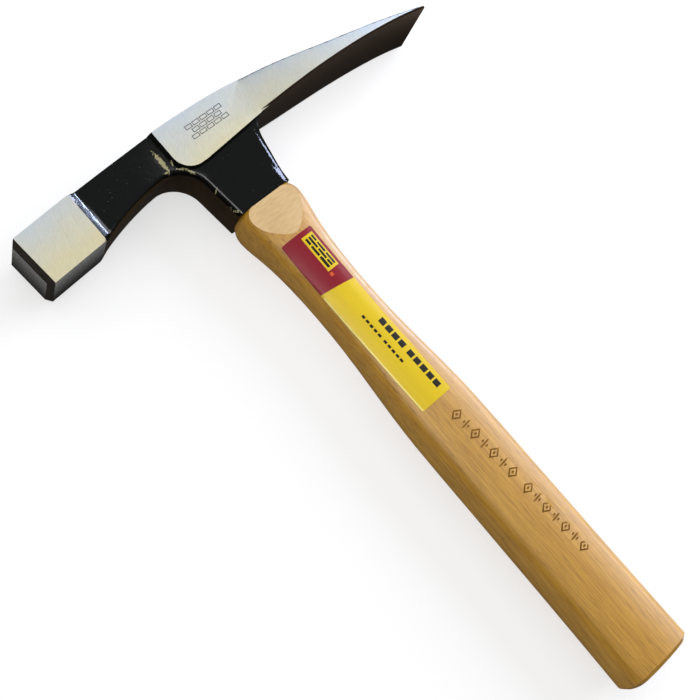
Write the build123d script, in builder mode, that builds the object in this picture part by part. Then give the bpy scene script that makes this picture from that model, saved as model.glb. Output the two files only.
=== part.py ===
from build123d import *

import os
from math import cos, radians, sin

# Brick hammer: forged head with an adze eye, wedged hickory handle, printed film label.
# The hammer lies on its side.  +X runs along the handle from the head to the butt,
# +Y runs along the head from the striking face to the blade tip, +Z is up through
# the thickness.  The origin is under the middle of the bounding box, on the floor.
os.makedirs("parts", exist_ok=True)

# ---- frame: where the eye's centre line sits, measured from the origin ----
EYE_X = -125.63
EYE_Y = -9.11
HALF_BLADE = 17.0
REACH = 60.0  # longer than any section, for shapes that are trimmed to size afterwards
MARGIN = 3.0  # how far a trimming profile runs past what it trims

# ---- forged head ----
POLL_SIDE = 22.4
POLL_LENGTH = 27.3
POLL_DROOP = 3.9
FACE_X = 0.14
FACE_Y = -88.35
FACE_CHAMFER = 2.1
SHOULDER_LENGTH = 3.4
SHOULDER_FOOT_RADIUS = 4.0
HALF_NECK = 8.8
HALF_SOCKET = 10.3
HALF_PAD = 11.3
NECK_END_Y = -36.0
SOCKET_START_Y = -10.0
PAD_STEP = 3.0
PAD_START_Y = -19.2
PAD_CORNER = 8.0
PAD_EDGE_X = 6.4
PAD_BEND_Y = -8.0
PAD_END_X = 3.6
PAD_END_Y = 24.0
PAD_SLOPE = 45
CROWN_X = -14.5
TIP_Y = 107.2
TIP_X = 8.4
EDGE_LAND = 1.1
EDGE_SLANT = 0.3
BLADE_UNDER_X = 3.5
SOCKET_END_X = 31.6
SOCKET_POLL_Y = -13.5
SOCKET_BLADE_Y = 12.4
UNDER_RADIUS = 2.0
CROWN_RADIUS = 0.8
BLADE_BEVEL = 0.7

# ---- arch under the neck: low point, then where it meets the socket ----
ARCH_NECK = (5.2, -46)
ARCH_TOP = (2.6, -30)
ARCH_BEND = (5.9, -19.2)
ARCH_END = (13.2, -15.3)

# ---- eye and wedges ----
EYE_TOP_X = CROWN_X - 1
EYE_TOP = (25.0, 14.4)
EYE_BOTTOM = (20.6, 13.6)
EYE_RADIUS = 6.0
TENON_TOP_X = -14.0
KERF_DEPTH = 30.0
KERF_TOP = 3.4
KERF_BOTTOM = 0.9
STEEL_WEDGE_DEPTH = 14.0
STEEL_WEDGE_WIDTH = 11.0
STEEL_WEDGE_TOP = 2.4
STEEL_WEDGE_TIP = 0.5
STEEL_WEDGE_Y = 6.2

# ---- hickory handle ----
BUTT_X = 265.8
BUTT_CHAMFER = 1.8
CHEEK_FLAT = 10.4
CHEEK_FLAT_END = 60.0
CHEEK_RUNOUT = 2.0
SIDE_BULGE = 0.16
CORNER_SHARE = 0.52
SECTION_COUNT = 31
# station along the handle, half width across the head, half thickness
HANDLE_STATIONS = [
    (SOCKET_END_X, 13.3, 11.2),
    (36.0, 14.9, 12.3),
    (41.0, 14.9, 11.9),
    (48.0, 13.8, 10.6),
    (58.0, 12.5, 9.8),
    (74.0, 11.7, 9.4),
    (92.0, 11.9, 9.4),
    (108.0, 12.9, 9.7),
    (124.0, 14.3, 10.1),
    (142.0, 15.3, 10.5),
    (190.0, 15.7, 10.9),
    (230.0, 16.0, 11.3),
    (264.0, 16.5, 11.6),
]

# ---- label ----
LABEL_START_X = 50.8
LABEL_END_X = 134.0
LABEL_LOW_Y = -8.8
LABEL_HIGH_Y = 6.4
LABEL_THICKNESS = 0.15
LABEL_CORNER = 0.8

mid = Plane(origin=(EYE_X, EYE_Y, HALF_BLADE))


def across(x):
    """Plane square to the handle, its x axis along the head and its y axis up."""
    return Plane(origin=(EYE_X + x, EYE_Y, HALF_BLADE), x_dir=(0, 1, 0), z_dir=(1, 0, 0))


def spot(edge):
    """Middle of an edge, measured from the eye's centre line."""
    return edge.center() - mid.origin


def eye_sections():
    """The eye's outline at the crown and at the socket's mouth."""
    with BuildSketch(across(EYE_TOP_X)) as crown:
        RectangleRounded(*EYE_TOP, EYE_RADIUS)
    with BuildSketch(across(SOCKET_END_X)) as mouth:
        RectangleRounded(*EYE_BOTTOM, EYE_RADIUS)
    return [crown.sketch, mouth.sketch]


def handle_half_sizes(x):
    """Half width and half thickness at x, on a smooth curve through the stations."""
    last = len(HANDLE_STATIONS) - 1
    i = max(k for k in range(last) if k == 0 or HANDLE_STATIONS[k][0] <= x)
    before = HANDLE_STATIONS[max(i - 1, 0)]
    here = HANDLE_STATIONS[i]
    there = HANDLE_STATIONS[i + 1]
    after = HANDLE_STATIONS[min(i + 2, last)]
    span = there[0] - here[0]
    t = (x - here[0]) / span
    sizes = []
    for column in (1, 2):
        slope_here = span * (there[column] - before[column]) / (there[0] - before[0])
        slope_there = span * (after[column] - here[column]) / (after[0] - here[0])
        sizes.append(
            here[column] * (1 + 2 * t) * (1 - t) ** 2
            + slope_here * t * (1 - t) ** 2
            + there[column] * t**2 * (3 - 2 * t)
            + slope_there * t**2 * (t - 1)
        )
    return sizes


def handle_sections(skin=0.0):
    """Evenly spaced sections of the handle, grown by a skin thickness."""
    start = HANDLE_STATIONS[0][0]
    pitch = (HANDLE_STATIONS[-1][0] - start) / (SECTION_COUNT - 1)
    stations = [start + pitch * k for k in range(SECTION_COUNT)]
    sections = []
    for x in stations:
        half_width, half_thickness = handle_half_sizes(x)
        sections.append(handle_section(x, half_width + skin, half_thickness + skin))
    return sections


def handle_section(x, half_width, half_thickness):
    """Oval-sided section of the handle with rounded corners."""
    flat_y = half_width * (1 - SIDE_BULGE)
    flat_z = half_thickness * (1 - SIDE_BULGE)
    with BuildSketch(across(x)) as section:
        with BuildLine():
            ThreePointArc((-flat_y, -flat_z), (0, -half_thickness), (flat_y, -flat_z))
            ThreePointArc((flat_y, -flat_z), (half_width, 0), (flat_y, flat_z))
            ThreePointArc((flat_y, flat_z), (0, half_thickness), (-flat_y, flat_z))
            ThreePointArc((-flat_y, flat_z), (-half_width, 0), (-flat_y, -flat_z))
        make_face()
        fillet(section.vertices(), half_thickness * CORNER_SHARE)
    return section.sketch


# ---- head: one steel forging, ground bright on the poll, cheeks and blade ----
droop = radians(POLL_DROOP)
face_centre = Vector(FACE_X, FACE_Y)
face_up = Vector(-cos(droop), -sin(droop)) * (POLL_SIDE / 2)
poll_back = Vector(-sin(droop), cos(droop)) * POLL_LENGTH
face_top = face_centre + face_up
face_low = face_centre - face_up
poll_top = face_top + poll_back
poll_low = face_low + poll_back


def side_outline():
    """Side outline of poll, neck, socket and blade."""
    with BuildSketch(mid) as outline:
        with BuildLine():
            Line((poll_top.X, poll_top.Y), (face_top.X, face_top.Y))
            Line((face_top.X, face_top.Y), (face_low.X, face_low.Y))
            Line((face_low.X, face_low.Y), (poll_low.X, poll_low.Y))
            ThreePointArc((poll_low.X, poll_low.Y), ARCH_NECK, ARCH_TOP)
            ThreePointArc(ARCH_TOP, ARCH_BEND, ARCH_END)
            Line(ARCH_END, (SOCKET_END_X, SOCKET_POLL_Y))
            Line((SOCKET_END_X, SOCKET_POLL_Y), (SOCKET_END_X, SOCKET_BLADE_Y))
            Spline(
                (SOCKET_END_X, SOCKET_BLADE_Y),
                (16, 14.8),
                (8, 17),
                (BLADE_UNDER_X, PAD_END_Y),
                tangents=[(-1, 0), (0, 1)],
            )
            Spline(
                (BLADE_UNDER_X, PAD_END_Y),
                (BLADE_UNDER_X, 48),
                (5.4, 85),
                (TIP_X + EDGE_LAND / 2, TIP_Y),
                tangents=[(0, 1), (0.25, 1)],
            )
            Line((TIP_X + EDGE_LAND / 2, TIP_Y), (TIP_X - EDGE_LAND / 2, TIP_Y - EDGE_SLANT))
            Spline(
                (TIP_X - EDGE_LAND / 2, TIP_Y - EDGE_SLANT),
                (1.2, 82),
                (-3.5, 61),
                (-9.4, 37),
                (-12.7, 19.5),
                (-14.0, 4),
                (CROWN_X, -22),
                (poll_top.X, poll_top.Y),
            )
        make_face()
    return outline.sketch


with BuildPart() as pads:
    # raised cheek pads around the eye, with a sloping step down to neck and socket
    with BuildSketch(mid.offset(HALF_PAD)) as pad_outline:
        with BuildLine():
            Polyline(
                (-REACH, REACH),
                (-REACH, PAD_START_Y),
                (PAD_EDGE_X, PAD_START_Y),
                (PAD_EDGE_X, PAD_BEND_Y),
                (PAD_END_X, PAD_END_Y),
                (PAD_END_X, REACH),
                (-REACH, REACH),
            )
        make_face()
        fillet(pad_outline.vertices().sort_by(Axis.Y)[:2].sort_by(Axis.X)[-1], PAD_CORNER)
    extrude(amount=-PAD_STEP, taper=-PAD_SLOPE)
    mirror(about=mid)
    extrude(side_outline(), amount=REACH, both=True, mode=Mode.INTERSECT)

with BuildPart() as head:
    # thickness of the forging along its length
    with BuildSketch(across(0)) as width_law:
        with BuildLine():
            Polyline(
                (TIP_Y, 0),
                (FACE_Y - MARGIN, 0),
                (FACE_Y - MARGIN, POLL_SIDE / 2),
                (poll_low.Y, POLL_SIDE / 2),
                (poll_low.Y + SHOULDER_LENGTH, HALF_NECK),
                (NECK_END_Y, HALF_NECK),
            )
            Spline((NECK_END_Y, HALF_NECK), (SOCKET_START_Y, HALF_SOCKET), tangents=[(1, 0), (1, 0)])
            Line((SOCKET_START_Y, HALF_SOCKET), (SOCKET_BLADE_Y, HALF_SOCKET))
            Spline(
                (SOCKET_BLADE_Y, HALF_SOCKET),
                (37.5, 14.0),
                (53.0, 15.7),
                (70.0, 16.6),
                (TIP_Y, HALF_BLADE),
                tangents=[(1, 0.05), (1, 0)],
            )
            Line((TIP_Y, HALF_BLADE), (TIP_Y, 0))
        make_face()
        foot_y = poll_low.Y + SHOULDER_LENGTH
        fillet(width_law.vertices().sort_by_distance((foot_y, HALF_NECK))[0], SHOULDER_FOOT_RADIUS)
        mirror(about=Plane.XZ)
    extrude(amount=REACH, both=True)
    extrude(side_outline(), amount=REACH, both=True, mode=Mode.INTERSECT)
    # bevel round the striking face
    chamfer(head.faces().sort_by(Axis.Y)[0].edges(), FACE_CHAMFER)
    # soft edge under the neck and down the socket, and along the crown
    under_edges = head.edges().filter_by(
        lambda e: spot(e).X > 0 and -58 < spot(e).Y < -14 and HALF_NECK - 1 < abs(spot(e).Z) < HALF_SOCKET + 1
    )
    fillet(under_edges, UNDER_RADIUS)
    crown_edges = head.edges().filter_by(
        lambda e: spot(e).X < -12 and -58 < spot(e).Y < -20 and abs(abs(spot(e).Z) - HALF_NECK) < 0.2
    )
    fillet(crown_edges, CROWN_RADIUS)
    # ground bevel along the underside of the blade
    blade_edges = head.edges().filter_by(
        lambda e: 2 < spot(e).X < 6 and 40 < spot(e).Y < 90 and abs(spot(e).Z) > HALF_PAD
    )
    chamfer(blade_edges, BLADE_BEVEL)
    add(pads.part)
    # eye for the handle, larger at the crown so that the wedges hold
    loft(sections=eye_sections(), mode=Mode.SUBTRACT)
head.part.label = "head"
export_step(head.part, "parts/head.step")


# ---- wedges at the crown: two steel ones driven across a hardwood one ----
def steel_wedge(y):
    """Side view of one steel wedge, driven across the wooden one."""
    with BuildSketch(mid.offset(-STEEL_WEDGE_WIDTH / 2)) as profile:
        with BuildLine():
            Polyline(
                (TENON_TOP_X, y - STEEL_WEDGE_TOP / 2),
                (TENON_TOP_X + STEEL_WEDGE_DEPTH, y - STEEL_WEDGE_TIP / 2),
                (TENON_TOP_X + STEEL_WEDGE_DEPTH, y + STEEL_WEDGE_TIP / 2),
                (TENON_TOP_X, y + STEEL_WEDGE_TOP / 2),
                (TENON_TOP_X, y - STEEL_WEDGE_TOP / 2),
            )
        make_face()
    return profile.sketch


with BuildPart() as wedge_steel_front:
    extrude(steel_wedge(-STEEL_WEDGE_Y), amount=STEEL_WEDGE_WIDTH)
wedge_steel_front.part.label = "wedge_steel_front"
export_step(wedge_steel_front.part, "parts/wedge_steel_front.step")

with BuildPart() as wedge_steel_back:
    extrude(steel_wedge(STEEL_WEDGE_Y), amount=STEEL_WEDGE_WIDTH)
wedge_steel_back.part.label = "wedge_steel_back"
export_step(wedge_steel_back.part, "parts/wedge_steel_back.step")

with BuildPart() as wedge_wood:
    # long hardwood wedge in the saw kerf, along the head
    with BuildSketch(Plane(origin=mid.origin, x_dir=(1, 0, 0), z_dir=(0, -1, 0))) as kerf:
        with BuildLine():
            Polyline(
                (TENON_TOP_X, -KERF_TOP / 2),
                (TENON_TOP_X + KERF_DEPTH, -KERF_BOTTOM / 2),
                (TENON_TOP_X + KERF_DEPTH, KERF_BOTTOM / 2),
                (TENON_TOP_X, KERF_TOP / 2),
                (TENON_TOP_X, -KERF_TOP / 2),
            )
        make_face()
    extrude(amount=EYE_TOP[0], both=True)
    loft(sections=eye_sections(), mode=Mode.INTERSECT)
    add(wedge_steel_front.part, mode=Mode.SUBTRACT)
    add(wedge_steel_back.part, mode=Mode.SUBTRACT)
wedge_wood.part.label = "wedge_wood"
export_step(wedge_wood.part, "parts/wedge_wood.step")

# ---- handle: hickory, shaved to fit the eye, swelling to the grip ----
with BuildPart() as handle:
    loft(sections=handle_sections())
    # cheeks shaved flat just below the socket
    for side in (1, -1):
        with BuildSketch(mid.offset(side * CHEEK_FLAT)):
            with Locations(((SOCKET_END_X + CHEEK_FLAT_END) / 2, 0)):
                Rectangle(CHEEK_FLAT_END - SOCKET_END_X + CHEEK_RUNOUT, REACH)
        extrude(amount=side * HALF_BLADE, mode=Mode.SUBTRACT)
    # bevel round the butt
    last_x, last_width, last_thickness = HANDLE_STATIONS[-1]
    loft(
        sections=[
            handle_section(last_x, last_width, last_thickness),
            handle_section(BUTT_X, last_width - BUTT_CHAMFER, last_thickness - BUTT_CHAMFER),
        ],
        ruled=True,
    )
    # tenon through the eye, sawn for the wedges
    loft(sections=eye_sections())
    with BuildSketch(across(TENON_TOP_X)):
        Rectangle(REACH, REACH)
    extrude(amount=-MARGIN, mode=Mode.SUBTRACT)
    extrude(kerf.sketch, amount=EYE_TOP[0], both=True, mode=Mode.SUBTRACT)
    add(wedge_steel_front.part, mode=Mode.SUBTRACT)
    add(wedge_steel_back.part, mode=Mode.SUBTRACT)
handle.part.label = "handle"
export_step(handle.part, "parts/handle.step")

# ---- label: printed film stuck along the upper side of the handle ----
with BuildPart() as label:
    loft(sections=handle_sections(LABEL_THICKNESS))
    with BuildSketch(mid) as sticker:
        with Locations(((LABEL_START_X + LABEL_END_X) / 2, (LABEL_LOW_Y + LABEL_HIGH_Y) / 2)):
            RectangleRounded(LABEL_END_X - LABEL_START_X, LABEL_HIGH_Y - LABEL_LOW_Y, LABEL_CORNER)
    extrude(amount=REACH, mode=Mode.INTERSECT)
    add(handle.part, mode=Mode.SUBTRACT)
label.part.label = "label"
export_step(label.part, "parts/label.step")
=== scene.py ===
import math

import bpy
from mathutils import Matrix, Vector


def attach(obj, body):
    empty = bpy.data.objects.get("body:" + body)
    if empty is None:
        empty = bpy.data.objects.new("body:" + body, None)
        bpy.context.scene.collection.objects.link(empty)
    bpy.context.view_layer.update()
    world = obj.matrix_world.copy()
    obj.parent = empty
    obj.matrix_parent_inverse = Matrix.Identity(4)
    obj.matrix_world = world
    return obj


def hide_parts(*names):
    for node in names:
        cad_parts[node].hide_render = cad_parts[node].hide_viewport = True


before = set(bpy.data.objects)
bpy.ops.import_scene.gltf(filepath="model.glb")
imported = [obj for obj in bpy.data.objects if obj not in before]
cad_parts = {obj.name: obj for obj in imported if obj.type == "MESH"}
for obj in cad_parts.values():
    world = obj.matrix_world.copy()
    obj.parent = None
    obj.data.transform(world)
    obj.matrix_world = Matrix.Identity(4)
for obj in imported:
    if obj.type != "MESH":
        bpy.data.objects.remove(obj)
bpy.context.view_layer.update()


# ---------------------------------------------------------------------------------------------
# Handle: one straight-grained hickory stick, turned on a copying lathe, sanded, dipped in clear
# lacquer and driven up into the eye of the head. A row of small lozenges is burnt into the grip.
# ---------------------------------------------------------------------------------------------

EYE = Vector((-125.63, -9.11, 17.0))  # centre of the head's eye in the shared frame, mm


def at(x, y, z):
    """A place given in mm from the eye (x down the handle, y toward the blade, z up), in metres."""
    return (EYE + Vector((x, y, z))) * 0.001


def tone(code):
    """An sRGB hex colour as the linear colour the shader wants."""
    parts = [int(code[i:i + 2], 16) / 255 for i in (1, 3, 5)]
    return [p / 12.92 if p <= 0.04045 else ((p + 0.055) / 1.055) ** 2.4 for p in parts] + [1.0]


def add(material, kind, inputs=(), **settings):
    """One shader node with its settings, and a value or a link for each input."""
    made = material.node_tree.nodes.new(kind)
    for name, value in settings.items():
        setattr(made, name, value)
    for key, value in dict(inputs).items():
        if isinstance(value, bpy.types.NodeSocket):
            material.node_tree.links.new(value, made.inputs[key])
        else:
            made.inputs[key].default_value = value
    return made


def new_material(name):
    """A material with no shader nodes in it yet."""
    made = bpy.data.materials.new(name)
    made.use_nodes = True
    made.node_tree.nodes.clear()
    return made


def finish_with(material, shader):
    """Links the shader to the material's surface."""
    out = add(material, "ShaderNodeOutputMaterial")
    material.node_tree.links.new(shader.outputs[0], out.inputs["Surface"])


def copy_of(node_name, name):
    """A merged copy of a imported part, to be worked on, selected and active."""
    bpy.ops.object.select_all(action="DESELECT")
    piece = bpy.data.objects.new(name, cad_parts[node_name].data.copy())
    bpy.context.collection.objects.link(piece)
    piece.data.materials.clear()
    bpy.context.view_layer.objects.active = piece
    piece.select_set(True)
    bpy.ops.mesh.customdata_custom_splitnormals_clear()
    bpy.ops.object.mode_set(mode="EDIT")
    bpy.ops.mesh.select_all(action="SELECT")
    bpy.ops.mesh.remove_doubles(threshold=0.000002)
    bpy.ops.object.mode_set(mode="OBJECT")
    return piece


def choose(piece, test):
    """Leaves selected only the faces whose middle (mm from the eye) and normal pass the test."""
    bpy.ops.object.mode_set(mode="EDIT")
    bpy.ops.mesh.select_all(action="DESELECT")
    bpy.ops.mesh.select_mode(type="FACE")
    bpy.ops.object.mode_set(mode="OBJECT")
    for face in piece.data.polygons:
        face.select = test(face.center * 1000 - EYE, face.normal)


def give(piece, index, test):
    """Gives one of the piece's materials to the faces that pass the test."""
    for face in piece.data.polygons:
        if test(face.center * 1000 - EYE, face.normal):
            face.material_index = index


def cut_away(piece, cutter):
    """Cuts a closed shape out of the piece and keeps the cutter's material number on the cut."""
    cut = piece.modifiers.new("cut", "BOOLEAN")
    cut.operation = "DIFFERENCE"
    cut.solver = "EXACT"
    cut.material_mode = "INDEX"
    cut.object = cutter
    bpy.ops.object.select_all(action="DESELECT")
    bpy.context.view_layer.objects.active = piece
    piece.select_set(True)
    bpy.ops.object.modifier_apply(modifier="cut")
    bpy.data.objects.remove(cutter)


# Lacquered hickory: golden heartwood with brown pore lines 8 mm long and 0.3 mm wide, fibre
# streaks 20 mm long, slow changes of tone from ring to ring, and a satin film of lacquer.
hickory = new_material("lacquered_hickory")
place = add(hickory, "ShaderNodeTexCoord").outputs["Object"]
stick = add(hickory, "ShaderNodeMapping", {"Vector": place, "Scale": (1000, 1000, 1000)}).outputs[0]
rings = add(hickory, "ShaderNodeMapping", {"Vector": stick, "Scale": (0.008, 0.2, 0.12)}).outputs[0]
ring_tone = add(hickory, "ShaderNodeTexNoise",
                {"Vector": rings, "Scale": 1.0, "Detail": 3.0, "Roughness": 0.6})
fibre = add(hickory, "ShaderNodeMapping", {"Vector": stick, "Scale": (0.05, 1.9, 1.4)}).outputs[0]
fibre_tone = add(hickory, "ShaderNodeTexNoise",
                 {"Vector": fibre, "Scale": 1.0, "Detail": 4.0, "Roughness": 0.55})
pore = add(hickory, "ShaderNodeMapping", {"Vector": stick, "Scale": (0.12, 4.2, 3.2)}).outputs[0]
pore_tone = add(hickory, "ShaderNodeTexNoise",
                {"Vector": pore, "Scale": 1.0, "Detail": 2.0, "Roughness": 0.5})
pore_mask = add(hickory, "ShaderNodeMapRange",
                {"Value": pore_tone.outputs["Fac"], "From Min": 0.54, "From Max": 0.8})
ring_mix = add(hickory, "ShaderNodeMix",
               {0: ring_tone.outputs["Fac"], 6: tone("#B4841C"), 7: tone("#CA9A34")},
               data_type="RGBA")
fibre_mask = add(hickory, "ShaderNodeMapRange",
                 {"Value": fibre_tone.outputs["Fac"], "From Min": 0.36, "From Max": 0.78})
fibre_mix = add(hickory, "ShaderNodeMix",
                {0: fibre_mask.outputs[0], 6: ring_mix.outputs[2], 7: tone("#9C6A16")},
                data_type="RGBA")
fibre_mix.clamp_factor = True
pore_mix = add(hickory, "ShaderNodeMix",
               {0: pore_mask.outputs[0], 6: fibre_mix.outputs[2], 7: tone("#6E4510")},
               data_type="RGBA")
grain = add(hickory, "ShaderNodeBump",
            {"Height": pore_tone.outputs["Fac"], "Strength": 0.12, "Distance": 0.0002})
grain.invert = True
lacquer = add(hickory, "ShaderNodeBsdfPrincipled",
              {"Base Color": pore_mix.outputs[2], "Roughness": 0.5, "IOR": 1.5,
               "Specular IOR Level": 0.25, "Coat Weight": 0.8, "Coat Roughness": 0.36,
               "Normal": grain.outputs[0]})
finish_with(hickory, lacquer)

# Rasped hickory: the flats below the head are left from the belt sander, paler because the
# lacquer soaked in, with scores 4 mm long and 0.8 mm wide across the grain.
rasped = new_material("rasped_hickory")
place = add(rasped, "ShaderNodeTexCoord").outputs["Object"]
stick = add(rasped, "ShaderNodeMapping", {"Vector": place, "Scale": (1000, 1000, 1000)}).outputs[0]
score = add(rasped, "ShaderNodeMapping", {"Vector": stick, "Scale": (1.3, 0.22, 0.3),
                                          "Rotation": (0, 0, math.radians(14))}).outputs[0]
score_tone = add(rasped, "ShaderNodeTexNoise",
                 {"Vector": score, "Scale": 1.0, "Detail": 3.0, "Roughness": 0.6})
score_mix = add(rasped, "ShaderNodeMix",
                {0: score_tone.outputs["Fac"], 6: tone("#AC884E"), 7: tone("#D6B67C")},
                data_type="RGBA")
scores = add(rasped, "ShaderNodeBump",
             {"Height": score_tone.outputs["Fac"], "Strength": 0.35, "Distance": 0.0003})
raw = add(rasped, "ShaderNodeBsdfPrincipled",
          {"Base Color": score_mix.outputs[2], "Roughness": 0.6, "IOR": 1.5,
           "Coat Weight": 0.25, "Coat Roughness": 0.4, "Normal": scores.outputs[0]})
finish_with(rasped, raw)

# End grain: darker than the sides, with curved growth rings 1.3 mm apart and open pores.
end_grain = new_material("hickory_end_grain")
place = add(end_grain, "ShaderNodeTexCoord").outputs["Object"]
section = add(end_grain, "ShaderNodeMapping",
              {"Vector": place, "Scale": (0, 1000, 1000), "Location": (0, 32, 8)}).outputs[0]
ring_wave = add(end_grain, "ShaderNodeTexWave",
                {"Vector": section, "Scale": 0.24, "Distortion": 2.2, "Detail": 2.0,
                 "Detail Scale": 0.6}, wave_type="RINGS", rings_direction="SPHERICAL")
pits = add(end_grain, "ShaderNodeTexNoise",
           {"Vector": section, "Scale": 2.2, "Detail": 2.0, "Roughness": 0.6})
ring_mix = add(end_grain, "ShaderNodeMix",
               {0: ring_wave.outputs["Fac"], 6: tone("#94662A"), 7: tone("#AC7E3C")},
               data_type="RGBA")
pit_mask = add(end_grain, "ShaderNodeMapRange",
               {"Value": pits.outputs["Fac"], "From Min": 0.58, "From Max": 0.7})
pit_mix = add(end_grain, "ShaderNodeMix",
              {0: pit_mask.outputs[0], 6: ring_mix.outputs[2], 7: tone("#5B3A18")},
              data_type="RGBA")
pit_bump = add(end_grain, "ShaderNodeBump",
               {"Height": pits.outputs["Fac"], "Strength": 0.3, "Distance": 0.0002})
sawn = add(end_grain, "ShaderNodeBsdfPrincipled",
           {"Base Color": pit_mix.outputs[2], "Roughness": 0.5, "IOR": 1.5,
            "Coat Weight": 0.4, "Coat Roughness": 0.3, "Normal": pit_bump.outputs[0]})
finish_with(end_grain, sawn)

# Scorched hickory: the floor and walls of the burnt marks, a dull brown, darker where it charred.
scorched = new_material("scorched_hickory")
place = add(scorched, "ShaderNodeTexCoord").outputs["Object"]
char = add(scorched, "ShaderNodeTexNoise",
           {"Vector": place, "Scale": 900.0, "Detail": 3.0, "Roughness": 0.6})
char_mix = add(scorched, "ShaderNodeMix",
               {0: char.outputs["Fac"], 6: tone("#6E4810"), 7: tone("#9E7028")},
               data_type="RGBA")
burnt = add(scorched, "ShaderNodeBsdfPrincipled",
            {"Base Color": char_mix.outputs[2], "Roughness": 0.7, "IOR": 1.5,
             "Specular IOR Level": 0.2})
finish_with(scorched, burnt)

stick_piece = copy_of("handle", "hickory_handle")
for finish in (hickory, rasped, end_grain, scorched):
    stick_piece.data.materials.append(finish)
RASPED, END_GRAIN, SCORCHED = 1, 2, 3    # their places in that list

BUTT_END = 265.7      # end grain shows beyond here
TENON_END = -13.9     # and on the end of the tenon in the eye
FLAT_END = 60.0       # the sander's flats run from the head to here
LEVEL = 0.9995        # upward part of the normal on a sanded flat
give(stick_piece, RASPED, lambda c, n: c.x < FLAT_END and abs(n.z) > LEVEL)
give(stick_piece, END_GRAIN, lambda c, n: c.x > BUTT_END or (c.x < TENON_END and n.x < -0.9))

# The burnt row: lozenge rings with a dot in them and slim leaves between, two groups of seven
# along a line that climbs slightly across the grip. Each mark lies on the wood where it stands.
MARK_DEPTH = 0.35
MARK_BODY = 1.6                 # height of the cutter, so that it ends clear of the wood
MARK_PITCH = 5.1
MARKS_IN_GROUP = 7
GROUP_STARTS = (0.0, 39.0)
LINE_START = (143.2, 0.8)
LINE_SLOPE = 4.4 / 67.7
LOZENGE_REACH = 3.1             # from its middle to its far corners
LOZENGE_NARROWING = 0.68        # its width against its length
LOZENGE_LINE = 0.62
DOT = (1.4, 0.9)                # lengths and widths
LONG_LEAF = (5.4, 0.85)
SIDE_LEAF = (1.5, 0.8)
SIDE_LEAF_OFFSET = 1.15
marks = []


def lay_mark(x, y):
    """Turns the mark just made to lie on the wood at (x, y), along the row's line."""
    above_wood = 30
    _, place, normal, _ = stick_piece.ray_cast(at(x, y, above_wood), Vector((0, 0, -1)))
    mark = bpy.context.object
    lean = normal.to_track_quat("Z", "Y").to_matrix().to_euler()
    mark.rotation_euler = (lean.x, lean.y, math.atan(LINE_SLOPE))
    mark.location = place
    bpy.ops.object.transform_apply(location=True, rotation=True, scale=True)
    marks.append(mark)


def thicken():
    """Gives the flat outline just made a body, from the mark's floor to above the wood."""
    bpy.ops.mesh.select_all(action="SELECT")
    bpy.ops.transform.translate(value=(0, 0, -MARK_DEPTH * 0.001))
    bpy.ops.mesh.extrude_region_move(TRANSFORM_OT_translate={"value": (0, 0, MARK_BODY * 0.001)})
    bpy.ops.mesh.select_all(action="SELECT")
    bpy.ops.mesh.normals_make_consistent(inside=False)
    bpy.ops.object.mode_set(mode="OBJECT")


def lozenge_ring(x, y):
    """A lozenge burnt as an outline, its middle left as wood."""
    bpy.ops.mesh.primitive_circle_add(vertices=4, radius=LOZENGE_REACH * 0.001, fill_type="NGON")
    bpy.ops.object.mode_set(mode="EDIT")
    bpy.ops.transform.resize(value=(LOZENGE_NARROWING, 1.0, 1.0))
    bpy.ops.mesh.inset(thickness=LOZENGE_LINE * 0.001)
    bpy.ops.mesh.delete(type="FACE")
    thicken()
    lay_mark(x, y)


def leaf(x, y, length, width):
    """A solid eight-sided leaf or dot, lying across the row."""
    bpy.ops.mesh.primitive_circle_add(vertices=8, radius=0.001, fill_type="NGON")
    bpy.ops.object.mode_set(mode="EDIT")
    bpy.ops.transform.resize(value=(width / 2, length / 2, 1.0))
    thicken()
    lay_mark(x, y)


for group in GROUP_STARTS:
    for count in range(MARKS_IN_GROUP):
        run = group + count * MARK_PITCH
        x = LINE_START[0] + run
        y = LINE_START[1] + run * LINE_SLOPE
        if count % 2 == 0:
            lozenge_ring(x, y)
            leaf(x, y, *DOT)
        else:
            leaf(x, y, *LONG_LEAF)
            leaf(x - SIDE_LEAF_OFFSET, y, *SIDE_LEAF)
            leaf(x + SIDE_LEAF_OFFSET, y, *SIDE_LEAF)

bpy.ops.object.select_all(action="DESELECT")
for mark in marks:
    mark.select_set(True)
bpy.context.view_layer.objects.active = marks[0]
bpy.ops.object.join()
brand_iron = bpy.context.object
for count in range(SCORCHED + 1):
    brand_iron.data.materials.append(scorched)
for face in brand_iron.data.polygons:
    face.material_index = SCORCHED
cut_away(stick_piece, brand_iron)
bpy.ops.object.shade_smooth_by_angle(angle=math.radians(14))

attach(stick_piece, "root")
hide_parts("handle")


# ---------------------------------------------------------------------------------------------
# Label: a printed plastic film stuck down the middle of the handle below the head, red at the
# head end and yellow below it. The print is a plain pattern of bricks in place of any wording.
# ---------------------------------------------------------------------------------------------

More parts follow.
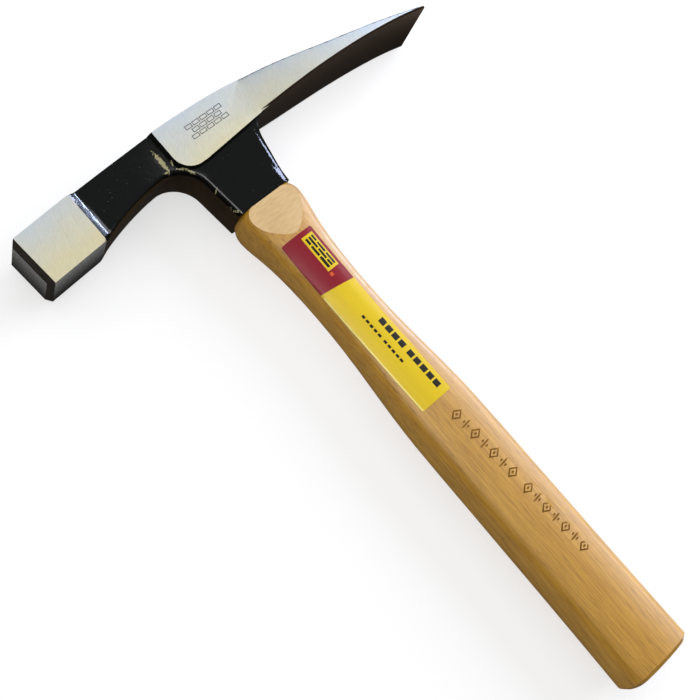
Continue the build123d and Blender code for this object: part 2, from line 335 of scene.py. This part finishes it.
# Printed vinyl: strong flat ink with a soft sheen, slightly uneven where the film follows the
# grain of the wood beneath it. One material for each ink.
def printed_film(name, first, second):
    """The film in one ink, which drifts between two close tones."""
    film = new_material(name)
    place = add(film, "ShaderNodeTexCoord").outputs["Object"]
    ink = add(film, "ShaderNodeMapping", {"Vector": place, "Scale": (60, 900, 900)}).outputs[0]
    ink_tone = add(film, "ShaderNodeTexNoise", {"Vector": ink, "Scale": 1.0, "Detail": 3.0})
    ink_mix = add(film, "ShaderNodeMix",
                  {0: ink_tone.outputs["Fac"], 6: tone(first), 7: tone(second)},
                  data_type="RGBA")
    ripple = add(film, "ShaderNodeBump",
                 {"Height": ink_tone.outputs["Fac"], "Strength": 0.06, "Distance": 0.0002})
    vinyl = add(film, "ShaderNodeBsdfPrincipled",
                {"Base Color": ink_mix.outputs[2], "Roughness": 0.3, "IOR": 1.46,
                 "Specular IOR Level": 0.25, "Coat Weight": 0.05, "Coat Roughness": 0.16,
                 "Normal": ripple.outputs[0]})
    finish_with(film, vinyl)
    return film


label_piece = copy_of("label", "printed_label")
for name, first, second in (("yellow_printed_vinyl", "#CCAE0A", "#D8BA16"),
                            ("red_printed_vinyl", "#7A081A", "#860E22"),
                            ("black_printed_vinyl", "#0E0C04", "#1A1608"),
                            ("orange_printed_vinyl", "#C2481E", "#D25A2A"),
                            ("clear_film_edge", "#E6D36A", "#EFE08A")):
    label_piece.data.materials.append(printed_film(name, first, second))
YELLOW, RED, BLACK, ORANGE, BARE_FILM = range(5)    # their places in that list


def on_top(n):
    """True for a face of the printed side, false for the film's cut edge and its back."""
    return n.z > 0.5


def slit(place, way, test):
    """Cuts the label's chosen faces along a flat plane, so each side can take its own ink."""
    choose(label_piece, test)
    bpy.ops.object.mode_set(mode="EDIT")
    bpy.ops.mesh.bisect(plane_co=at(*place), plane_no=way)
    bpy.ops.object.mode_set(mode="OBJECT")


def print_block(ink, x0, x1, y0, y1):
    """Prints one rectangle of ink on the label."""
    near = 30    # a face whose middle is farther off than this can't reach the cut
    for x in (x0, x1):
        slit((x, 0, 0), (1, 0, 0), lambda c, n: on_top(n) and abs(c.x - x) < near)
    for y in (y0, y1):
        slit((0, y, 0), (0, 1, 0), lambda c, n: on_top(n) and x0 < c.x < x1)
    give(label_piece, ink, lambda c, n: on_top(n) and x0 < c.x < x1 and y0 < c.y < y1)


def print_course(blocks, start, pitch, length, y0, y1, gap_after, gap):
    """Prints a row of equal black blocks with one wider gap in it."""
    for count in range(blocks):
        x0 = start + count * pitch + (gap if count > gap_after else 0.0)
        print_block(BLACK, x0, x0 + length, y0, y1)


RED_END = 76.2                     # the red ends here on the centre line, on a slight slant
RED_WAY = Vector((1.0, -0.16, 0))
BARE_EDGE = -8.2                   # the yellow stops short of the label's edge here
slit((RED_END, 0, 0), RED_WAY, lambda c, n: True)
give(label_piece, RED, lambda c, n: (c - Vector((RED_END, 0, 0))).dot(RED_WAY) < 0)
slit((0, BARE_EDGE, 0), (0, 1, 0), lambda c, n: on_top(n))
give(label_piece, BARE_FILM, lambda c, n: on_top(n) and c.y < BARE_EDGE and c.x > RED_END)

# A yellow panel in the red, with three courses of bricks on it, broken like real ones.
OUTER_COURSE = ((54.2, 57.0), (57.7, 62.3), (63.0, 68.2))
MIDDLE_COURSE = ((54.2, 59.4), (60.1, 64.7), (65.4, 68.2))
print_block(YELLOW, 53.0, 69.4, -0.4, 5.2)
for course, y0, y1 in ((OUTER_COURSE, 0.5, 1.7), (MIDDLE_COURSE, 2.2, 3.2), (OUTER_COURSE, 3.7, 4.6)):
    for x0, x1 in course:
        print_block(BLACK, x0, x1, y0, y1)
print_block(ORANGE, 70.2, 71.7, -0.7, 0.8)

# On the yellow, a bold course and a thin one.
print_course(9, start=96.2, pitch=3.75, length=2.9, y0=1.9, y1=4.5, gap_after=3, gap=1.4)
print_course(10, start=90.8, pitch=2.35, length=1.6, y0=-2.2, y1=-1.1, gap_after=4, gap=1.0)

bpy.ops.object.shade_smooth_by_angle(angle=math.radians(30))
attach(label_piece, "root")
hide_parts("label")


# ---------------------------------------------------------------------------------------------
# Head: one drop forging in carbon steel, dipped in black enamel and then ground bright on the
# poll, the cheeks and the blade. The enamel is left on the neck, the socket and the ramps.
# ---------------------------------------------------------------------------------------------

# Ground steel: a belt leaves fine scratches that cross at two angles, so the shine is broken
# into a soft sheen. The real scratches are finer than 0.1 mm; these are drawn 0.3 to 0.5 mm wide
# and 4 mm long to show. It is cool grey near the crown and straw-coloured below a line that
# follows the crown down the blade, where the belt ran hot.
TINT_BEND_Y = 15.0      # the line runs level up to here, then falls with the crown
TINT_FALL = 0.245       # mm of fall for each mm along the blade
TINT_TOP_X = -9.0       # all grey above here
TINT_FOOT_X = 14.0      # all straw below here
TINT_RAGGEDNESS = 14.0  # how far the cloudy noise shifts the line
ground = new_material("belt_ground_steel")
place = add(ground, "ShaderNodeTexCoord").outputs["Object"]
steel = add(ground, "ShaderNodeMapping", {"Vector": place, "Scale": (1000, 1000, 1000)}).outputs[0]
along = add(ground, "ShaderNodeMapping",
            {"Vector": steel, "Scale": (4.0, 0.5, 1.0), "Rotation": (0, 0, math.radians(-12))},
            vector_type="TEXTURE").outputs[0]
along_tone = add(ground, "ShaderNodeTexNoise",
                 {"Vector": along, "Scale": 1.0, "Detail": 4.0, "Roughness": 0.7,
                  "Distortion": 0.6})
across = add(ground, "ShaderNodeMapping",
             {"Vector": steel, "Scale": (0.34, 3.6, 1.0), "Rotation": (0, 0, math.radians(42))},
             vector_type="TEXTURE").outputs[0]
across_tone = add(ground, "ShaderNodeTexNoise",
                  {"Vector": across, "Scale": 1.0, "Detail": 4.0, "Roughness": 0.7,
                   "Distortion": 0.4})
scratch = add(ground, "ShaderNodeMath",
              {0: along_tone.outputs["Fac"], 1: across_tone.outputs["Fac"]}, operation="ADD")
cloud = add(ground, "ShaderNodeTexNoise",
            {"Vector": steel, "Scale": 0.09, "Detail": 2.0, "Roughness": 0.5})
spread = add(ground, "ShaderNodeSeparateXYZ", {0: steel}).outputs
beyond_bend = add(ground, "ShaderNodeMath", {0: spread["Y"], 1: EYE.y + TINT_BEND_Y},
                  operation="SUBTRACT")
fall = add(ground, "ShaderNodeMath", {0: beyond_bend.outputs[0], 1: 0.0}, operation="MAXIMUM")
below_crown = add(ground, "ShaderNodeMath",
                  {0: fall.outputs[0], 1: -TINT_FALL, 2: spread["X"]}, operation="MULTIPLY_ADD")
clouded = add(ground, "ShaderNodeMath",
              {0: cloud.outputs["Fac"], 1: TINT_RAGGEDNESS, 2: below_crown.outputs[0]},
              operation="MULTIPLY_ADD")
straw = add(ground, "ShaderNodeMapRange",
            {"Value": clouded.outputs[0], "From Min": EYE.x + TINT_TOP_X,
             "From Max": EYE.x + TINT_FOOT_X})
steel_tone = add(ground, "ShaderNodeMix",
                 {0: straw.outputs[0], 6: tone("#AEB4B6"), 7: tone("#BCB494")},
                 data_type="RGBA")
scratch_rough = add(ground, "ShaderNodeMapRange",
                    {"Value": scratch.outputs[0], "From Min": 0.6, "From Max": 1.4,
                     "To Min": 0.5, "To Max": 0.64})
scratch_bump = add(ground, "ShaderNodeBump",
                   {"Height": scratch.outputs[0], "Strength": 0.16, "Distance": 0.0003})
scratch_shade = add(ground, "ShaderNodeMapRange",
                    {"Value": scratch.outputs[0], "From Min": 0.7, "From Max": 1.3,
                     "To Min": 0.84, "To Max": 1.06})
scratched_tone = add(ground, "ShaderNodeVectorMath",
                     {0: steel_tone.outputs[2], 3: scratch_shade.outputs[0]}, operation="SCALE")
bright = add(ground, "ShaderNodeBsdfPrincipled",
             {"Base Color": scratched_tone.outputs[0], "Metallic": 1.0,
              "Roughness": scratch_rough.outputs[0], "Normal": scratch_bump.outputs[0]})
finish_with(ground, bright)

# Buffed steel: the striking face and the poll's sides are buffed after grinding, so they mirror
# whatever is round them, with a light haze. Their colour is painted darker toward the bench: painted
# shade.
SHADE_DARKEST_Z = 0.0065    # metres up from the bench
SHADE_GONE_Z = 0.029
polished = new_material("buffed_steel")
place = add(polished, "ShaderNodeTexCoord").outputs["Object"]
haze = add(polished, "ShaderNodeTexNoise",
           {"Vector": place, "Scale": 140.0, "Detail": 2.0, "Roughness": 0.5})
level = add(polished, "ShaderNodeSeparateXYZ", {0: place}).outputs["Z"]
# Painted shade: the base colour darkens toward the bench, its edge ruffled a little by the haze.
painted_shade_height = add(polished, "ShaderNodeMath", {0: haze.outputs["Fac"], 1: 0.002, 2: level},
          operation="MULTIPLY_ADD")
painted_shade_ramp = add(polished, "ShaderNodeMapRange",
               {"Value": painted_shade_height.outputs[0], "From Min": SHADE_DARKEST_Z, "From Max": SHADE_GONE_Z})
painted_shade_fade = add(polished, "ShaderNodeMath", {0: painted_shade_ramp.outputs[0], 1: 1.4}, operation="POWER")
painted_shade_tone = add(polished, "ShaderNodeMix",
                {0: painted_shade_fade.outputs[0], 6: tone("#1C1C1C"), 7: tone("#E0E2E0")},
                data_type="RGBA")
haze_rough = add(polished, "ShaderNodeMapRange",
                 {"Value": haze.outputs["Fac"], "From Min": 0.3, "From Max": 0.7,
                  "To Min": 0.2, "To Max": 0.26})
buffed = add(polished, "ShaderNodeBsdfPrincipled",
             {"Base Color": painted_shade_tone.outputs[2], "Metallic": 0.7,
              "Roughness": haze_rough.outputs[0]})
finish_with(polished, buffed)

# Dark bevel: the bevel round the striking face is given a dark brown colour, a painted reflection of
# the dark it mirrors.
dark_reflection_steel = new_material("steel_with_painted_dark_reflection")
place = add(dark_reflection_steel, "ShaderNodeTexCoord").outputs["Object"]
bevel_mottle = add(dark_reflection_steel, "ShaderNodeTexNoise",
           {"Vector": place, "Scale": 500.0, "Detail": 3.0, "Roughness": 0.6})
painted_dark_reflection_tone = add(dark_reflection_steel, "ShaderNodeMix",
               {0: bevel_mottle.outputs["Fac"], 6: tone("#26221E"), 7: tone("#544C44")},
               data_type="RGBA")
dark_reflection_gloss = add(dark_reflection_steel, "ShaderNodeBsdfPrincipled",
                 {"Base Color": painted_dark_reflection_tone.outputs[2], "Metallic": 0.6, "Roughness": 0.34})
finish_with(dark_reflection_steel, dark_reflection_gloss)

# Blade underside: ground steel given a warm brown colour, a painted reflection of the warm dark it
# mirrors from below.
brown_reflection_steel = new_material("steel_with_painted_brown_reflection")
place = add(brown_reflection_steel, "ShaderNodeTexCoord").outputs["Object"]
film = add(brown_reflection_steel, "ShaderNodeMapping", {"Vector": place, "Scale": (400, 60, 400)}).outputs[0]
painted_reflection_streaks = add(brown_reflection_steel, "ShaderNodeTexNoise",
                {"Vector": film, "Scale": 1.0, "Detail": 4.0, "Roughness": 0.6})
painted_brown_reflection_tone = add(brown_reflection_steel, "ShaderNodeMix",
               {0: painted_reflection_streaks.outputs["Fac"], 6: tone("#66503E"), 7: tone("#745E4C")},
               data_type="RGBA")
brown_reflection_gloss = add(brown_reflection_steel, "ShaderNodeBsdfPrincipled",
           {"Base Color": painted_brown_reflection_tone.outputs[2], "Metallic": 1.0, "Roughness": 0.3})
finish_with(brown_reflection_steel, brown_reflection_gloss)

# Brown enamel: under the arch and on the socket's poll side the black enamel has brown mottling, a
# painted reflection and shade.
brown_reflection_enamel = new_material("enamel_with_painted_brown_reflection")
place = add(brown_reflection_enamel, "ShaderNodeTexCoord").outputs["Object"]
painted_reflection_mottle = add(brown_reflection_enamel, "ShaderNodeTexNoise",
                  {"Vector": place, "Scale": 220.0, "Detail": 4.0, "Roughness": 0.6})
painted_reflection_tone = add(brown_reflection_enamel, "ShaderNodeMix",
                {0: painted_reflection_mottle.outputs["Fac"], 6: tone("#120C05"), 7: tone("#3A2912")},
                data_type="RGBA")
sheen = add(brown_reflection_enamel, "ShaderNodeBsdfPrincipled",
            {"Base Color": painted_reflection_tone.outputs[2], "Roughness": 0.3, "IOR": 1.5,
             "Specular IOR Level": 0.3})
finish_with(brown_reflection_enamel, sheen)

# Painted highlights on the enamel, lighter ovals in place of glints on its fillets and edges: x, y and
# z in mm from the eye, length and width in mm, and angle in degrees.
CREAM_GLINTS = ((-3.1, -23.4, 9.0, 10.7, 2.2, -2), (3.5, -19.1, 9.6, 4.4, 0.9, 54),
         (6.2, -17.0, 9.9, 5.2, 0.9, 27), (1.4, -24.3, 9.0, 2.9, 0.8, 72),
         (-0.3, -20.5, 9.6, 2.9, 0.7, -15), (18.4, -14.2, 10.8, 2.9, 0.7, -56),
         (26.9, -14.1, 11.2, 4.5, 1.2, 12), (29.4, -13.1, 11.2, 3.8, 0.9, 34))
LILAC_GLINTS = ((20.4, 12.6, 11.2, 24.1, 0.8, -9), (27.7, 10.9, 11.2, 9.1, 1.7, -1),
         (-11.3, -60.2, 9.3, 8.8, 1.6, 11))

# Black enamel: a thick dipped coat, almost black with a faint green cast, glossy, faintly rippled
# by the forging scale under it, with a few specks of dust that settled while it dried.
enamel = new_material("black_dipped_enamel")
place = add(enamel, "ShaderNodeTexCoord").outputs["Object"]
coat = add(enamel, "ShaderNodeMapping", {"Vector": place, "Scale": (1000, 1000, 1000)}).outputs[0]
ripple = add(enamel, "ShaderNodeTexNoise",
             {"Vector": coat, "Scale": 0.35, "Detail": 3.0, "Roughness": 0.5})
dust = add(enamel, "ShaderNodeTexNoise",
           {"Vector": coat, "Scale": 1.1, "Detail": 1.0, "Roughness": 0.4})
dust_mask = add(enamel, "ShaderNodeMapRange",
                {"Value": dust.outputs["Fac"], "From Min": 0.77, "From Max": 0.81})
dust_mix = add(enamel, "ShaderNodeMix",
               {0: dust_mask.outputs[0], 6: tone("#070806"), 7: tone("#4C4C44")},
               data_type="RGBA")

flecks = add(enamel, "ShaderNodeTexNoise",
             {"Vector": coat, "Scale": 1.6, "Detail": 3.0, "Roughness": 0.6})


def paint_glints(tint, under, places):
    """Lays a lighter tint over the enamel in ragged ovals, one for each mark in the list: painted
    highlights.
    """
    half_height = 3.0
    raggedness = 2.4
    bare, glint_gone = 1.9, 2.1    # the tint is full at the first and gone at the second
    for x, y, z, length, width, angle in places:
        local = add(enamel, "ShaderNodeMapping",
                    {"Vector": coat, "Location": EYE + Vector((x, y, z)),
                     "Rotation": (0, 0, math.radians(angle)),
                     "Scale": (length / 2, width / 2, half_height)}, vector_type="TEXTURE")
        reach = add(enamel, "ShaderNodeVectorMath", {0: local.outputs[0]}, operation="LENGTH")
        ragged = add(enamel, "ShaderNodeMath",
                     {0: flecks.outputs["Fac"], 1: raggedness, 2: reach.outputs["Value"]},
                     operation="MULTIPLY_ADD")
        mask = add(enamel, "ShaderNodeMapRange",
                   {"Value": ragged.outputs[0], "From Min": glint_gone, "From Max": bare})
        under = add(enamel, "ShaderNodeMix",
                    {0: mask.outputs[0], 6: under, 7: tone(tint)}, data_type="RGBA").outputs[2]
    return under


# Painted highlights: cream glints at the foot of the cheek and round the socket, lilac ones on the
# socket's edge and the poll's shoulder.
cream_glint_tone = paint_glints("#98936C", dust_mix.outputs[2], CREAM_GLINTS)
enamel_glint_tone = paint_glints("#B4BEDC", cream_glint_tone, LILAC_GLINTS)
ripple_bump = add(enamel, "ShaderNodeBump",
                  {"Height": ripple.outputs["Fac"], "Strength": 0.12, "Distance": 0.0006})
gloss = add(enamel, "ShaderNodeBsdfPrincipled",
            {"Base Color": enamel_glint_tone, "Roughness": 0.16, "IOR": 1.5, "Specular IOR Level": 0.26,
             "Normal": ripple_bump.outputs[0]})
finish_with(enamel, gloss)

# Stamp lines: the sunk lines of the maker's pattern, darker than the cheek, partly painted shade in the
# lines and partly oil and grinding dust.
stamp_shade_and_dirt = new_material("stamp_lines_shade_and_oil")
place = add(stamp_shade_and_dirt, "ShaderNodeTexCoord").outputs["Object"]
grit = add(stamp_shade_and_dirt, "ShaderNodeTexNoise",
           {"Vector": place, "Scale": 1200.0, "Detail": 3.0, "Roughness": 0.6})
shade_and_grit_tone = add(stamp_shade_and_dirt, "ShaderNodeMix",
               {0: grit.outputs["Fac"], 6: tone("#4A4D50"), 7: tone("#84878A")},
               data_type="RGBA")
stamp_line_gloss = add(stamp_shade_and_dirt, "ShaderNodeBsdfPrincipled",
            {"Base Color": shade_and_grit_tone.outputs[2], "Metallic": 0.8, "Roughness": 0.5})
finish_with(stamp_shade_and_dirt, stamp_line_gloss)

head_piece = copy_of("head", "forged_head")
for finish in (enamel, ground, stamp_shade_and_dirt, polished, dark_reflection_steel, brown_reflection_steel, brown_reflection_enamel):
    head_piece.data.materials.append(finish)
GROUND, STAMPED, POLISHED, DARK_REFLECTION_BEVEL, BROWN_REFLECTION_UNDERSIDE, BROWN_REFLECTION_ENAMEL = range(1, 7)    # places in that list

POLL_LINE = Vector((-12.89, -61.87, 0))       # upper end of the line where the poll's steel ends
POLL_WAY = Vector((0.0681, -0.9977, 0))       # from that line toward the striking face
FACE_BEVEL = 20.0                             # the face's bevel is farther than this from the line
CHEEK = 10.9                                  # anything proud of this is the ground cheek
CHEEK_START = -19.5                           # where the cheek's flat begins, on the neck's side
BLADE_START = 24.0                            # beyond here the blade is ground all over
CROWN_START = -22.0                           # the crown is ground from here to the blade's tip
CROWN_LEVEL = -12.0                           # and only above this, clear of the eye's wall
ARCH_END = -8.0                               # the arch lies short of here,
ARCH_TOP = 1.0                                # lower than this
ARCH_HALF = 8.0                               # and this far each side of the middle

# Triangles that lie in one plane are merged, so that each flat takes one finish.
bpy.ops.object.mode_set(mode="EDIT")
bpy.ops.mesh.select_all(action="SELECT")
bpy.ops.mesh.dissolve_limited(angle_limit=math.radians(0.3))
bpy.ops.object.mode_set(mode="OBJECT")


def past_poll_line(c):
    """How far a place lies from the end of the enamel toward the striking face."""
    return (c - POLL_LINE).dot(POLL_WAY)


give(head_piece, GROUND, lambda c, n: past_poll_line(c) > 0)
give(head_piece, POLISHED, lambda c, n: past_poll_line(c) > 0 and abs(n.z) < 0.2)
# The bevel round the striking face takes the painted dark reflection.
give(head_piece, DARK_REFLECTION_BEVEL, lambda c, n: past_poll_line(c) > FACE_BEVEL and -0.97 < n.y < -0.5)
# The blade's underside takes the painted brown reflection.
give(head_piece, BROWN_REFLECTION_UNDERSIDE, lambda c, n: c.y > BLADE_START and n.x > 0)
# Under the arch and on the socket's poll side the enamel takes the painted brown reflection.
give(head_piece, BROWN_REFLECTION_ENAMEL, lambda c, n: past_poll_line(c) < 0 and c.y < ARCH_END
     and c.x > ARCH_TOP and abs(c.z) < ARCH_HALF and (n.x > 0.2 or n.y < -0.6))
give(head_piece, GROUND, lambda c, n: c.y > CROWN_START and n.x < -0.5 and c.x < CROWN_LEVEL)
give(head_piece, GROUND, lambda c, n: c.y > BLADE_START and n.x < -0.5)
give(head_piece, GROUND, lambda c, n: c.y > CHEEK_START and abs(c.z) > CHEEK and abs(n.z) > 0.95)


# The stamp: three courses of small bricks struck into the cheek near the crown, on one side.
STAMP_DEPTH = 0.3
STAMP_LINE = 0.32                                     # width of a sunk line
DIE_BODY = 1.0                                        # height of the die, which ends clear of the steel
CHEEK_FACE = 11.3                                     # level of the cheek it is struck into
BRICK_LENGTH = 3.2
COURSES = ((-8.9, -7.1), (-6.6, -4.8), (-4.3, -2.5))  # each course's upper and lower edge
bricks = []
for row, (x0, x1) in enumerate(COURSES):
    starts = (-7.6, -3.9, -0.2, 3.5, 7.2) if row % 2 == 0 else (-5.75, -2.05, 1.65, 5.35)
    for y0 in starts:
        bpy.ops.object.select_all(action="DESELECT")
        bpy.ops.mesh.primitive_plane_add(size=0.001)
        bpy.ops.object.mode_set(mode="EDIT")
        bpy.ops.transform.resize(value=(x1 - x0, BRICK_LENGTH, 1.0))
        middle = at((x0 + x1) / 2, y0 + BRICK_LENGTH / 2, CHEEK_FACE - STAMP_DEPTH)
        bpy.ops.transform.translate(value=middle)
        bpy.ops.mesh.inset(thickness=STAMP_LINE * 0.001)
        bpy.ops.mesh.delete(type="FACE")
        bpy.ops.mesh.select_all(action="SELECT")
        bpy.ops.mesh.extrude_region_move(TRANSFORM_OT_translate={"value": (0, 0, DIE_BODY * 0.001)})
        bpy.ops.mesh.select_all(action="SELECT")
        bpy.ops.mesh.normals_make_consistent(inside=False)
        bpy.ops.object.mode_set(mode="OBJECT")
        bricks.append(bpy.context.object)
for brick in bricks:
    brick.select_set(True)
bpy.ops.object.join()
die = bpy.context.object
for count in range(STAMPED + 1):
    die.data.materials.append(stamp_shade_and_dirt)
for face in die.data.polygons:
    face.material_index = STAMPED
cut_away(head_piece, die)

bpy.ops.object.shade_smooth_by_angle(angle=math.radians(20))
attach(head_piece, "root")
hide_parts("head")


# ---------------------------------------------------------------------------------------------
# Wedges: one split-hardwood wedge driven down the middle of the tenon, and two small steel ones
# driven across it. They sit inside the eye, so only their cut-off ends show, from the top.
# ---------------------------------------------------------------------------------------------

# Wedge wood: a dense brown hardwood, unlacquered, its grain running down into the eye.
wedge_wood = new_material("raw_hardwood")
place = add(wedge_wood, "ShaderNodeTexCoord").outputs["Object"]
split = add(wedge_wood, "ShaderNodeMapping", {"Vector": place, "Scale": (150, 1400, 1400)}).outputs[0]
split_tone = add(wedge_wood, "ShaderNodeTexNoise",
                 {"Vector": split, "Scale": 1.0, "Detail": 4.0, "Roughness": 0.6})
split_mix = add(wedge_wood, "ShaderNodeMix",
                {0: split_tone.outputs["Fac"], 6: tone("#5E3A1C"), 7: tone("#9A6A3A")},
                data_type="RGBA")
split_bump = add(wedge_wood, "ShaderNodeBump",
                 {"Height": split_tone.outputs["Fac"], "Strength": 0.4, "Distance": 0.0003})
dry = add(wedge_wood, "ShaderNodeBsdfPrincipled",
          {"Base Color": split_mix.outputs[2], "Roughness": 0.75, "IOR": 1.5,
           "Normal": split_bump.outputs[0]})
finish_with(wedge_wood, dry)

# Wedge steel: plain stamped steel, dull grey with a dusting of brown where it has started to rust.
wedge_steel = new_material("stamped_steel")
place = add(wedge_steel, "ShaderNodeTexCoord").outputs["Object"]
bloom = add(wedge_steel, "ShaderNodeTexNoise",
            {"Vector": place, "Scale": 700.0, "Detail": 4.0, "Roughness": 0.65})
bloom_mask = add(wedge_steel, "ShaderNodeMapRange",
                 {"Value": bloom.outputs["Fac"], "From Min": 0.5, "From Max": 0.72})
bloom_mix = add(wedge_steel, "ShaderNodeMix",
                {0: bloom_mask.outputs[0], 6: tone("#A9ABAA"), 7: tone("#7A5230")},
                data_type="RGBA")
bare = add(wedge_steel, "ShaderNodeMapRange",
           {"Value": bloom_mask.outputs[0], "To Min": 1.0, "To Max": 0.2})
dull = add(wedge_steel, "ShaderNodeMapRange",
           {"Value": bloom_mask.outputs[0], "To Min": 0.42, "To Max": 0.8})
stamped = add(wedge_steel, "ShaderNodeBsdfPrincipled",
              {"Base Color": bloom_mix.outputs[2], "Metallic": bare.outputs[0],
               "Roughness": dull.outputs[0]})
finish_with(wedge_steel, stamped)

for node_name, finish in (("wedge_wood", wedge_wood), ("wedge_steel_front", wedge_steel),
                          ("wedge_steel_back", wedge_steel)):
    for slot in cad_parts[node_name].material_slots:
        slot.material = finish


# ---------------------------------------------------------------------------------------------
# Studio: a pale floor that glows, a large softbox on the blade's side, a small lamp over the poll
# and a wide fill overhead. A card above, a strip low down and a sheet on the floor give no
# diffuse light and are only there to be mirrored in the steel, the enamel and the lacquer.
# ---------------------------------------------------------------------------------------------

# Floor paper: matt and almost white, faintly mottled, lit a little from within.
floor_white = new_material("studio_floor")
place = add(floor_white, "ShaderNodeTexCoord").outputs["Object"]
mottle = add(floor_white, "ShaderNodeTexNoise", {"Vector": place, "Scale": 3.0, "Detail": 2.0})
floor_mix = add(floor_white, "ShaderNodeMix",
                {0: mottle.outputs["Fac"], 6: tone("#9A9A9A"), 7: tone("#A0A0A0")},
                data_type="RGBA")
paper = add(floor_white, "ShaderNodeBsdfPrincipled",
            {"Base Color": floor_mix.outputs[2], "Roughness": 0.9,
             "Emission Color": (1.0, 1.0, 1.0, 1.0), "Emission Strength": 0.64})
finish_with(floor_white, paper)
bpy.ops.object.select_all(action="DESELECT")
bpy.ops.mesh.primitive_plane_add(size=400.0, location=(0, 0, -0.0005))
floor = bpy.context.object
floor.name = "studio_floor"
floor.data.materials.append(floor_white)
floor.visible_glossy = False


def softbox(name, place, size, watts, colour):
    """A rectangular studio light that faces the middle of the hammer."""
    bpy.ops.object.light_add(type="AREA", location=place)
    light = bpy.context.object
    light.name = name
    light.data.shape = "RECTANGLE"
    light.data.size, light.data.size_y = size
    light.data.energy = watts
    light.data.color = tone(colour)[:3]
    light.rotation_euler = (-Vector(place)).to_track_quat("-Z", "Y").to_euler()
    return light


softbox("blade_side_softbox", (0.05, 0.95, 0.55), (1.0, 0.9), 16.0, "#F4F6FF")
lamp = softbox("poll_side_lamp", (0.0, -0.62, 0.79), (0.35, 0.35), 0.9, "#FFF3DC")
fill = softbox("overhead_fill", (-0.5, -0.1, 1.2), (1.4, 1.4), 10.0, "#FFFFFF")
card = softbox("zenith_card", (-0.38, -0.18, 1.2), (0.5, 0.5), 6.4, "#FFFFFF")
strip = softbox("glint_strip", (-0.38, 0.95, 0.2), (0.5, 0.05), 13.0, "#C4D6FF")
sheet = softbox("floor_sheet", (0.04, 0.17, 0.0002), (0.27, 0.3), 0.28, "#FFFFFF")
sheet.rotation_euler = (math.pi, 0, 0)    # lies on the floor and faces up
for light in (lamp, fill):
    light.visible_glossy = False
for light in (card, strip, sheet):
    light.visible_diffuse = False

# The room: dark low down on the poll's side and toward the butt, pale overhead.
world = bpy.data.worlds.new("studio_room")
world.use_nodes = True
bpy.context.scene.world = world
world.node_tree.nodes.clear()
way = add(world, "ShaderNodeTexCoord").outputs["Generated"]
heading = add(world, "ShaderNodeSeparateXYZ", {0: way}).outputs
toward_blade = add(world, "ShaderNodeMath", {0: heading["Y"], 1: 0.4, 2: heading["Z"]},
                   operation="MULTIPLY_ADD")
away_from_butt = add(world, "ShaderNodeMath", {0: heading["X"], 1: -0.5, 2: toward_blade.outputs[0]},
                     operation="MULTIPLY_ADD")
height = add(world, "ShaderNodeMapRange",
             {"Value": away_from_butt.outputs[0], "From Min": 0.0, "From Max": 0.7})
room = add(world, "ShaderNodeMix",
           {0: height.outputs[0], 6: tone("#3A3836"), 7: tone("#96989C")}, data_type="RGBA")
glow = add(world, "ShaderNodeBackground", {"Color": room.outputs[2], "Strength": 1.0})
add(world, "ShaderNodeOutputWorld", {"Surface": glow.outputs[0]})

# The camera looks down on the hammer from above, on the poll's side of the handle.
bpy.ops.object.camera_add(location=(-0.00645, -0.20831, 0.48528))
camera = bpy.context.object
camera.rotation_euler = (math.radians(16.417), math.radians(-14.888), math.radians(47.636))
camera.data.lens = 66.857
camera.data.sensor_width = 36.0
bpy.context.scene.camera = camera
bpy.context.scene.view_settings.view_transform = "Standard"
